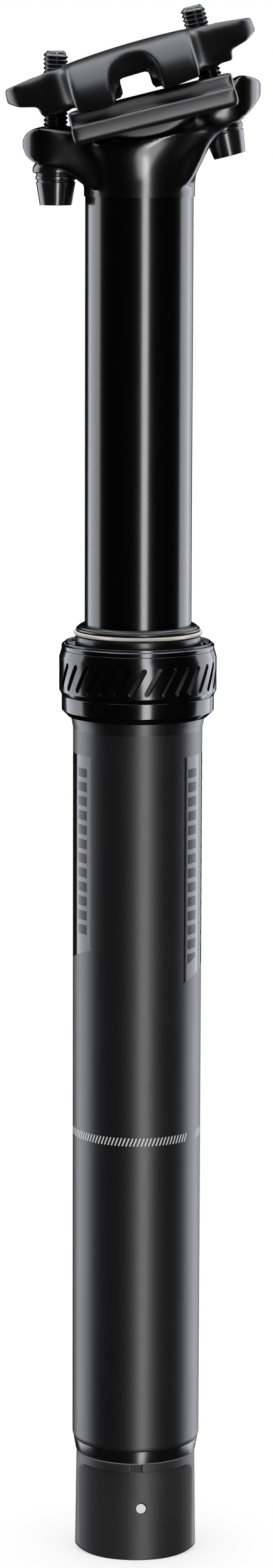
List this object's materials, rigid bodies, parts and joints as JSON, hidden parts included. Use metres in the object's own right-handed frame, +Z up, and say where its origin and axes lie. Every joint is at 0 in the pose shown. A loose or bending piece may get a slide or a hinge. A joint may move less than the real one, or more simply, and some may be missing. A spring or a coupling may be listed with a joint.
{
  "type": "dropper seatpost",
  "caption": "Telescoping bicycle seatpost with cable actuator at its foot, slotted seal collar, bare sliding stanchion and two-bolt saddle clamp.",
  "frame": {"origin": "on the post's axis at the insertion limit line, 105 mm above the foot", "axes": "+Z up along the post's axis, +X to the back of the bicycle, +Y to its left side"},
  "size_m": [0.0602, 0.055, 0.3735],
  "materials": {
    "satin_black_tube": "satin black anodised",
    "gloss_black_anodised": "gloss black anodised",
    "gloss_black_stanchion": "gloss black hard anodised, fine turned",
    "gloss_black_head": "gloss black lacquer on a forging",
    "satin_black_clamp": "fine bead-blasted satin black",
    "black_composite": "matte moulded",
    "black_rubber": "smooth nitrile rubber",
    "pale_spring_steel": "fine coiled wire",
    "green_glide_plastic": "smooth glide polymer",
    "bright_steel": "ground bright",
    "chromed_rod": "polished hard chrome",
    "bare_aluminium": "turned, bare",
    "grey_steel_nut": "zinc plated",
    "black_oxide_steel": "black oxide, lightly oiled",
    "dark_steel_lever": "stamped, phosphated",
    "brass_keys": "machined"
  },
  "bodies": {
    "lower_post": {"outer_tube": "satin_black_tube", "end_cap": "gloss_black_anodised", "bottom_bumper": "black_rubber", "stop_ring": "gloss_black_anodised", "seal_collar": "gloss_black_anodised", "seal_retainer": "gloss_black_anodised", "wiper_seal": "black_rubber", "garter_spring": "pale_spring_steel", "inner_seal": "black_rubber", "top_bushing": "green_glide_plastic", "actuator_housing": "black_composite", "pivot_pin": "bright_steel", "rod_nut": "bright_steel", "gas_rod": "chromed_rod", "gas_piston": "bare_aluminium", "piston_ring": "black_rubber"},
    "upper_post": {"stanchion": "gloss_black_stanchion", "head": "gloss_black_head", "gas_cylinder": "bare_aluminium", "cylinder_cap": "bare_aluminium", "rod_seal_head": "bare_aluminium", "rod_seal": "black_rubber", "top_out_bumper": "black_rubber", "cylinder_circlip": "bright_steel", "lower_bushing": "green_glide_plastic", "guide_keys": "brass_keys"},
    "gas_divider": {"floating_piston": "bare_aluminium", "floating_piston_ring": "black_rubber"},
    "saddle_clamp": {"lower_cradle": "satin_black_clamp", "upper_clamp": "satin_black_clamp"},
    "front_fastener": {"front_bolt": "black_oxide_steel", "front_washer": "black_oxide_steel"},
    "rear_fastener": {"rear_bolt": "black_oxide_steel", "rear_washer": "black_oxide_steel"},
    "front_nut": {"front_barrel_nut": "grey_steel_nut"},
    "rear_nut": {"rear_barrel_nut": "grey_steel_nut"},
    "lever": {"actuator_lever": "dark_steel_lever", "cable_anchor": "brass_keys", "anchor_screw": "black_oxide_steel", "return_spring": "bright_steel"},
    "valve": {"valve_pin": "chromed_rod"}
  },
  "joints": [
    {"name": "travel", "type": "slide", "parent": "lower_post", "child": "upper_post", "axis": [0, 0, 1], "range_m": [-0.1, 0], "stiffness_N_per_m": 100, "springref_m": 0.5},
    {"name": "gas_divider_slide", "type": "slide", "parent": "upper_post", "child": "gas_divider", "axis": [0, 0, 1], "range_m": [0, 0.024]},
    {"name": "clamp_tilt", "type": "hinge", "parent": "upper_post", "child": "saddle_clamp", "pos_m": [-0.00071, 0, 0.25562], "axis": [0, 1, 0], "range_deg": [-6, 8]},
    {"name": "front_bolt_swivel", "type": "hinge", "parent": "upper_post", "child": "front_fastener", "pos_m": [-0.0196, 0, 0.228], "axis": [0, 1, 0], "range_deg": [-4, 4]},
    {"name": "rear_bolt_swivel", "type": "hinge", "parent": "upper_post", "child": "rear_fastener", "pos_m": [0.01954, 0, 0.2394], "axis": [0, 1, 0], "range_deg": [-2, 2]},
    {"name": "front_nut_turn", "type": "hinge", "parent": "saddle_clamp", "child": "front_nut", "pos_m": [-0.01954, 0, 0.24804], "axis": [0, 1, 0], "range_deg": [-12, 12]},
    {"name": "rear_nut_turn", "type": "hinge", "parent": "saddle_clamp", "child": "rear_nut", "pos_m": [0.0145, 0, 0.25812], "axis": [0, 1, 0], "range_deg": [-12, 12]},
    {"name": "lever_pull", "type": "hinge", "parent": "lower_post", "child": "lever", "pos_m": [0.0014, 0, -0.0919], "axis": [0, 1, 0], "range_deg": [0, 26], "stiffness_Nm_per_rad": 0.05, "springref_deg": -28.65},
    {"name": "valve_lift", "type": "slide", "parent": "lower_post", "child": "valve", "axis": [0, 0, 1], "range_m": [0, 0.00113]}
  ],
  "couplings": [
    {"joint": "gas_divider_slide", "follows": "travel", "ratio": -0.2323},
    {"joint": "front_bolt_swivel", "follows": "clamp_tilt", "ratio": -0.3743},
    {"joint": "rear_bolt_swivel", "follows": "clamp_tilt", "ratio": -0.0895},
    {"joint": "front_nut_turn", "follows": "clamp_tilt", "ratio": -1.3743},
    {"joint": "rear_nut_turn", "follows": "clamp_tilt", "ratio": -1.0895},
    {"joint": "lever_pull", "follows": "valve_lift", "rad_per_m": 384.6}
  ]
}
